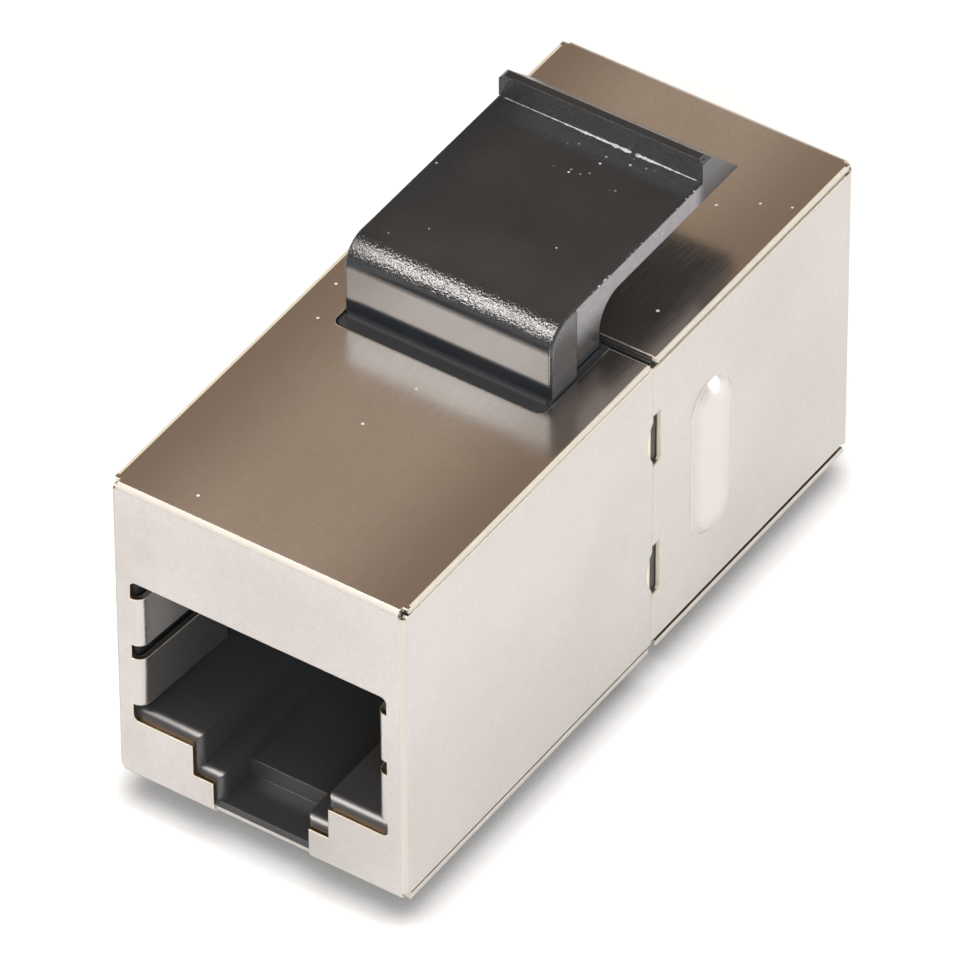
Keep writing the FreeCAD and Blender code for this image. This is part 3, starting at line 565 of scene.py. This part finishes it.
def black_plastic(look):
    """Black plastic: spark-eroded faces, a polished front wall, bloom, scuffed sides, dust, and painted
    light inside the sockets.
    """
    finish = Finish("black_plastic")
    across, depth, height = [finish.along(name) for name in "XYZ"]
    upward = finish.facing("Z")
    normal, edge = finish.rounded(look.edge_radius * MM_PER_METRE)
    # Where each kind of finish lies.
    above = finish.ramp(height, TOP_MM, TOP_MM + 0.3)
    wall = finish.product(finish.ramp(finish.product(finish.facing("Y"), -1.0), 0.86, 0.97),
                          finish.ramp(depth, STEP_MM - 0.1, STEP_MM + 0.1, 1.0, 0.0))
    side = finish.product(finish.ramp(finish.unsigned(finish.facing("X")), 0.8, 0.95), above)
    foot = finish.product(finish.ramp(height, TOP_MM + 0.7, TOP_MM + 1.0, 1.0, 0.0),
                          finish.ramp(height, TOP_MM - 0.5, TOP_MM - 0.3))
    rubbed = scuffed_sides(finish, depth, height)
    smooth = finish.maths("MAXIMUM", wall, finish.maths("SUBTRACT", side, rubbed))
    dust = finish.product(latch_dust(finish, across, depth), finish.maths("SUBTRACT", above, wall))
    mottle = finish.noise(2.5, detail=6.0, rough=0.65)
    # Colour, from the plastic up to the dust; below the shield's top it is painted paler, as light inside
    # the sockets.
    shade = finish.mix(finish.ramp(mottle, 0.35, 0.75), opaque(look.body), opaque(look.bloom))
    shade = finish.mix(above, opaque(look.inner), shade)
    shade = finish.mix(finish.product(side, rubbed), shade, opaque(look.scuff))
    shade = finish.mix(dust, shade, opaque(look.dust))
    # Gloss, duller inside the sockets and on the foot.
    satin = finish.ramp(mottle, 0.3, 0.7, look.roughness - 0.03, look.roughness + 0.03)
    gloss = finish.blend(smooth, satin, look.polish)
    gloss = finish.blend(foot, gloss, look.foot_roughness)
    gloss = finish.blend(above, look.inner_roughness, gloss)
    # How strongly it mirrors: less on the arm, at the left end and on edges, least in the foot's crease. The
    # dimmer left end and the dark crease are painted shade.
    shine = finish.product(finish.ramp(depth, STEP_MM - 0.6, STEP_MM + 3.0, 1.0, look.arm_shine),
                           finish.ramp(across, -ARM_HALF_MM, 2.5 - ARM_HALF_MM, 0.55, 1.0),
                           finish.ramp(edge, 0.0, 1.0, 1.0, 0.5))
    shine = finish.blend(wall, shine, look.wall_shine)
    flange = finish.product(finish.ramp(upward, 0.985, 0.999, look.crease_shine, look.flange_shine),
                            finish.ramp(edge, 0.0, 1.0, 1.0, 0.3))
    shine = finish.blend(foot, shine, flange)
    # Relief of the spark-eroded faces, weaker on level ones.
    rough = finish.maths("SUBTRACT", finish.maths("SUBTRACT", 1.0, smooth), edge)
    rough = finish.product(rough, finish.ramp(upward, 0.96, 0.999, 1.0, 0.3), above)
    texture = finish.product(finish.noise(look.texture * MM_PER_METRE), rough)
    normal = finish.bump(texture, look.texture_depth * MM_PER_METRE, normal)
    finish.set(colour=shade, roughness=gloss, normal=normal, refraction=1.5, specular=shine)
    return finish.material


def torn_plastic(look):
    """Plastic that has turned white where it was torn thin."""
    finish = Finish("torn_plastic")
    blotch = finish.ramp(finish.noise(0.15, detail=3.0), 0.3, 0.6)
    finish.set(colour=finish.mix(blotch, opaque(look.scuff), opaque(look.dust)),
               roughness=finish.ramp(blotch, 0.0, 1.0, 0.45, 0.7),
               normal=finish.bump(finish.noise(0.04), 0.01))
    return finish.material


def carrier_plastic(look):
    """Matt plastic of the contact carriers."""
    finish = Finish("carrier_plastic")
    mottle = finish.noise(0.8, detail=3.0)
    finish.set(colour=finish.mix(mottle, opaque(look.carrier), opaque(look.carrier_pale)),
               roughness=finish.ramp(mottle, 0.2, 0.8, 0.5, 0.65),
               normal=finish.bump(finish.noise(0.08), 0.006))
    return finish.material


def board_laminate(look):
    """Solder mask over woven glass, with copper tracks showing through as raised bands."""
    finish = Finish("board_laminate")
    weave = finish.noise(0.25)
    bands = finish.noise(1.0, detail=0.0, place=finish.stretched((0.5, 20.0, 4.0)))
    tracks = finish.band(bands, 0.47, 0.53, 0.02)
    finish.set(colour=finish.mix(tracks, opaque(look.board), opaque(look.track)),
               roughness=finish.ramp(weave, 0.2, 0.8, 0.25, 0.4),
               normal=finish.bump(tracks, 0.02, finish.bump(weave, 0.004)), coat=0.3, coat_roughness=0.12)
    return finish.material


def gilt_contact(look):
    """Gold plating, drawn along the wire and rubbed paler where plugs slide."""
    finish = Finish("gilt_contact")
    rub = finish.ramp(finish.noise(0.9, detail=3.0), 0.4, 0.75)
    streaks = finish.noise(1.0, place=finish.stretched((0.05, 0.9, 0.3)))
    finish.set(colour=finish.mix(rub, opaque(look.gold), opaque(look.gold_wear)), metal=1.0,
               roughness=finish.ramp(streaks, 0.2, 0.8, 0.18, 0.32),
               normal=finish.bump(streaks, 0.002))
    return finish.material


def dress(names, material):
    """Give CAD nodes their material."""
    for name in names:
        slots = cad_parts[name].data.materials
        slots.clear()
        slots.append(material)


def new_piece(name, shape, material):
    """A new mesh piece that moves with the jack."""
    mesh = bpy.data.meshes.new(name)
    shape.to_mesh(mesh)
    shape.free()
    mesh.materials.append(material)
    piece = bpy.data.objects.new(name, mesh)
    bpy.context.scene.collection.objects.link(piece)
    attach(piece, BODY)
    return piece


class JACK_OT_shields(bpy.types.Operator):
    """Finish the two folded shields"""
    bl_idname = "jack.shields"
    bl_label = "Shields"

    def execute(self, context):
        dress(SHIELDS, nickel_plate(context.scene.jack_shield))
        return {"FINISHED"}


class JACK_OT_housings(bpy.types.Operator):
    """Finish the two plastic housings, one of which carries the latch"""
    bl_idname = "jack.housings"
    bl_label = "Housings"

    def execute(self, context):
        dress(HOUSINGS, black_plastic(context.scene.jack_plastic))
        return {"FINISHED"}


def ragged_flash(look, chance):
    """Ragged strips of flash in the corner between the arm and its lip, from left to right."""
    shape = bmesh.new()
    corner = Vector((-ARM_HALF, LIP_FRONT, ARM_TOP))
    sunk = FLASH_SUNK * look.width
    across = 0.0
    ring = None
    while across < 2 * ARM_HALF - look.step:
        middle = 1.0 - abs(across / ARM_HALF - FLASH_WIDEST)
        torn = chance.random() < FLASH_TORN
        width = 0.0 if torn else look.width * max(FLASH_NARROWEST, middle) * chance.uniform(0.4, 0.95)
        foot = corner + Vector((across, 0.0, 0.0))
        bulge = chance.uniform(0.4, 0.8)
        points = (foot + Vector((0.0, sunk, -sunk)), foot + Vector((0.0, -width, -sunk)),
                  foot + Vector((0.0, -bulge * width, 0.6 * bulge * width)),
                  foot + Vector((0.0, sunk, 0.7 * width)))
        previous, ring = ring, (None if torn else [shape.verts.new(point) for point in points])
        if previous and ring:
            for side in range(len(points)):
                after = (side + 1) % len(points)
                shape.faces.new((previous[side], previous[after], ring[after], ring[side]))
        across += look.step * chance.uniform(0.4, 1.6)
    bmesh.ops.holes_fill(shape, edges=[edge for edge in shape.edges if edge.is_boundary])
    loose = [vert for vert in shape.verts if not vert.link_faces]
    bmesh.ops.delete(shape, geom=loose, context="VERTS")
    bmesh.ops.recalc_face_normals(shape, faces=shape.faces)
    return shape


def loose_flakes(look, chance):
    """Flakes that hang on the upper right edge of the arm, most of them near the lip."""
    shape = bmesh.new()
    for number in range(look.flakes):
        along = chance.random() ** 2 if number % 3 else chance.uniform(*FLAKES_NEAR_ROOT)
        size = look.flake * chance.uniform(0.25, 1.0) * (FIRST_FLAKE if number == 0 else OTHER_FLAKES)
        from_lip = (FLAKES_START + FLAKES_SPREAD * along) * ARM_LENGTH
        place = Vector((ARM_HALF - 0.3 * size, LIP_FRONT - from_lip, ARM_TOP))
        flat = Matrix.Diagonal((chance.uniform(0.5, 0.9), chance.uniform(0.7, 1.6), 0.5, 1.0))
        turn = Matrix.Rotation(chance.uniform(0.0, math.pi), 4, "Z")
        flake = bmesh.ops.create_icosphere(shape, subdivisions=2, radius=0.5 * size,
                                           matrix=Matrix.Translation(place) @ turn @ flat)
        for vert in flake["verts"]:
            vert.co = place + (vert.co - place) * chance.uniform(0.75, 1.25)
    return shape


class JACK_OT_flash(bpy.types.Operator):
    """Leave flash along the lip of the latch and flakes on the edge of its arm"""
    bl_idname = "jack.flash"
    bl_label = "Latch flash"

    def execute(self, context):
        look = context.scene.jack_flash
        chance = random.Random(look.seed)
        material = torn_plastic(context.scene.jack_plastic)
        new_piece("lip_flash", ragged_flash(look, chance), material)
        new_piece("arm_flakes", loose_flakes(look, chance), material)
        return {"FINISHED"}


class JACK_OT_carriers(bpy.types.Operator):
    """Finish the contact carriers"""
    bl_idname = "jack.carriers"
    bl_label = "Contact carriers"

    def execute(self, context):
        dress(CARRIERS, carrier_plastic(context.scene.jack_inner))
        return {"FINISHED"}


class JACK_OT_board(bpy.types.Operator):
    """Finish the circuit board"""
    bl_idname = "jack.board"
    bl_label = "Circuit board"

    def execute(self, context):
        dress((BOARD,), board_laminate(context.scene.jack_inner))
        return {"FINISHED"}


class JACK_OT_contacts(bpy.types.Operator):
    """Finish the spring contacts of both sockets"""
    bl_idname = "jack.contacts"
    bl_label = "Contacts"

    def execute(self, context):
        dress(CONTACTS, gilt_contact(context.scene.jack_inner))
        return {"FINISHED"}


def plain_floor(look):
    """Pale floor that reads as white in the open, keeps the jack's shadow and has a painted contact shadow
    close round it, for the camera alone.
    """
    finish = Finish("floor")
    path = finish.add("ShaderNodeLightPath")
    seen, mirrored = path.outputs["Is Camera Ray"], path.outputs["Is Glossy Ray"]
    around = finish.add("ShaderNodeAmbientOcclusion", samples=RAYS)
    around.inputs["Distance"].default_value = look.contact
    openness = around.outputs["AO"]
    lift = finish.maths("ADD", finish.product(seen, look.glow), finish.product(mirrored, look.sheen))
    # Painted contact shadow: seen by the camera, the floor darkens towards the shadow colour where the jack
    # closes it in.
    shaded = finish.product(finish.ramp(openness, FULL_SHADE, NO_SHADE, 1.0, 0.0), seen)
    finish.set(colour=finish.mix(shaded, opaque(look.floor), opaque(look.shadow)), roughness=0.9, glow=WHITE,
               glow_strength=finish.product(lift, openness))
    return finish.material


def lay_floor(look):
    """A wide floor, level with the foot of the fixed catch."""
    shape = bmesh.new()
    bmesh.ops.create_grid(shape, x_segments=1, y_segments=1, size=FLOOR_SIZE)
    mesh = bpy.data.meshes.new("floor")
    shape.to_mesh(mesh)
    shape.free()
    mesh.materials.append(plain_floor(look))
    floor = bpy.data.objects.new("floor", mesh)
    floor.location.z = CAD_LOW.z
    bpy.context.scene.collection.objects.link(floor)


def paint_studio(look):
    """Pale low walls under a darker ceiling, and a dark wall in front."""
    world = bpy.data.worlds.new("studio")
    world.use_nodes = True
    bpy.context.scene.world = world
    tree = world.node_tree
    direction = tree.nodes.new("ShaderNodeTexCoord")
    split = tree.nodes.new("ShaderNodeSeparateXYZ")
    tree.links.new(direction.outputs["Generated"], split.inputs["Vector"])
    rise = tree.nodes.new("ShaderNodeValToRGB")
    rise.color_ramp.interpolation = "EASE"
    for stop, position, shade in zip(rise.color_ramp.elements, (WALLS_END, CEILING_STARTS), (BLACK, WHITE)):
        stop.position = position
        stop.color = shade
    tree.links.new(split.outputs["Z"], rise.inputs["Fac"])
    ahead = tree.nodes.new("ShaderNodeMapRange")
    ahead.inputs["From Min"].default_value = FRONT_WALL_STARTS
    ahead.inputs["From Max"].default_value = FRONT_WALL_FULL
    tree.links.new(split.outputs["Y"], ahead.inputs["Value"])
    walls = tree.nodes.new("ShaderNodeMix")
    walls.data_type = "RGBA"
    walls.inputs["A"].default_value = opaque(look.horizon)
    walls.inputs["B"].default_value = opaque(look.front)
    tree.links.new(ahead.outputs["Result"], walls.inputs["Factor"])
    studio = tree.nodes.new("ShaderNodeMix")
    studio.data_type = "RGBA"
    studio.inputs["B"].default_value = opaque(look.ceiling)
    tree.links.new(rise.outputs["Color"], studio.inputs["Factor"])
    tree.links.new(walls.outputs["Result"], studio.inputs["A"])
    tree.links.new(studio.outputs["Result"], tree.nodes["Background"].inputs["Color"])


def bearing(azimuth, elevation):
    """Direction at an angle to the right of the front and above the floor, in radians."""
    level = math.cos(elevation)
    return Vector((math.sin(azimuth) * level, -math.cos(azimuth) * level, math.sin(elevation)))


def hang_light(name, power, size, distance, azimuth, elevation, rgb=WHITE[:3]):
    """A square soft light that the camera doesn't see. It faces the jack's middle from angles in degrees."""
    lamp = bpy.data.lights.new(name, "AREA")
    lamp.energy = power
    lamp.size = size
    lamp.color = rgb
    light = bpy.data.objects.new(name, lamp)
    away = bearing(math.radians(azimuth), math.radians(elevation))
    light.location = (CAD_LOW + CAD_HIGH) / 2 + distance * away
    light.rotation_euler = away.to_track_quat("Z", "Y").to_euler()
    light.visible_camera = False
    bpy.context.scene.collection.objects.link(light)
    return light


def place_camera(look):
    """A long lens at the angle of the picture."""
    turn, roll = look.azimuth, look.roll
    back = bearing(turn, look.elevation)
    across = Vector((math.cos(turn), math.sin(turn), 0.0))
    upward = back.cross(across)
    across, upward = (math.cos(roll) * across + math.sin(roll) * upward,
                      math.cos(roll) * upward - math.sin(roll) * across)
    place = PIVOT + look.distance * back
    aim = PIVOT - AIM_LEFT * across - AIM_DOWN * upward
    back = (place - aim).normalized()
    across = (across - across.dot(back) * back).normalized()
    upward = back.cross(across)
    data = bpy.data.cameras.new("camera")
    data.sensor_width = SENSOR_WIDTH
    data.lens = look.lens
    data.clip_start = NEAREST
    data.clip_end = FARTHEST
    camera = bpy.data.objects.new("camera", data)
    camera.matrix_world = Matrix.Translation(place) @ Matrix((across, upward, back)).transposed().to_4x4()
    bpy.context.scene.collection.objects.link(camera)
    bpy.context.scene.camera = camera


class JACK_OT_stage(bpy.types.Operator):
    """Lay the floor, hang the lights and place the camera"""
    bl_idname = "jack.stage"
    bl_label = "Stage"

    def execute(self, context):
        look = context.scene.jack_stage
        context.scene.view_settings.view_transform = "Standard"
        lay_floor(look)
        paint_studio(look)
        overhead = hang_light("overhead", look.overhead, size=0.6, distance=0.7, azimuth=0.0,
                              elevation=90.0, rgb=look.cool)
        fill = hang_light("fill", look.fill, size=0.3, distance=0.6, azimuth=30.0, elevation=28.0,
                          rgb=look.cool)
        key = hang_light("key", look.key, size=0.24, distance=0.4, azimuth=-34.0, elevation=47.0,
                         rgb=look.warm)
        rim = hang_light("rim", look.rim, size=0.2, distance=0.5, azimuth=130.0, elevation=14.0)
        # The large lamps light the jack without showing in its gloss, and the cards show in its gloss alone.
        for lamp in (overhead, fill):
            lamp.visible_glossy = False
        for card in (key, rim):
            card.visible_diffuse = False
        place_camera(look)
        return {"FINISHED"}


OPERATORS = (JACK_OT_shields, JACK_OT_housings, JACK_OT_flash, JACK_OT_carriers, JACK_OT_board,
             JACK_OT_contacts, JACK_OT_stage)


class JACK_PT_finishes(bpy.types.Panel):
    """Lists the pieces of the jack"""
    bl_idname = "JACK_PT_finishes"
    bl_label = "Keystone Jack"
    bl_space_type = "VIEW_3D"
    bl_region_type = "UI"
    bl_category = "Keystone Jack"

    def draw(self, context):
        for settings in SETTINGS:
            box = self.layout.box()
            group = getattr(context.scene, settings)
            for name in group.bl_rna.properties.keys():
                if name not in ("name", "rna_type"):
                    box.prop(group, name)
        for operator in OPERATORS:
            self.layout.operator(operator.bl_idname)


SETTINGS = {
    "jack_shield": ShieldFinish,
    "jack_plastic": PlasticFinish,
    "jack_flash": FlashLook,
    "jack_inner": InnerFinish,
    "jack_stage": StageLook,
}
CLASSES = (*SETTINGS.values(), *OPERATORS, JACK_PT_finishes)


def register():
    """Add the classes and their settings."""
    for kind in CLASSES:
        bpy.utils.register_class(kind)
    for name, group in SETTINGS.items():
        setattr(bpy.types.Scene, name, PointerProperty(type=group))


def unregister():
    """Take the settings and the classes away again."""
    for name in SETTINGS:
        delattr(bpy.types.Scene, name)
    for kind in reversed(CLASSES):
        bpy.utils.unregister_class(kind)


def main():
    """Dress the jack and set the stage."""
    register()
    bpy.ops.jack.shields()
    bpy.ops.jack.housings()
    bpy.ops.jack.flash()
    bpy.ops.jack.carriers()
    bpy.ops.jack.board()
    bpy.ops.jack.contacts()
    bpy.ops.jack.stage()


if __name__ == "__main__":
    main()
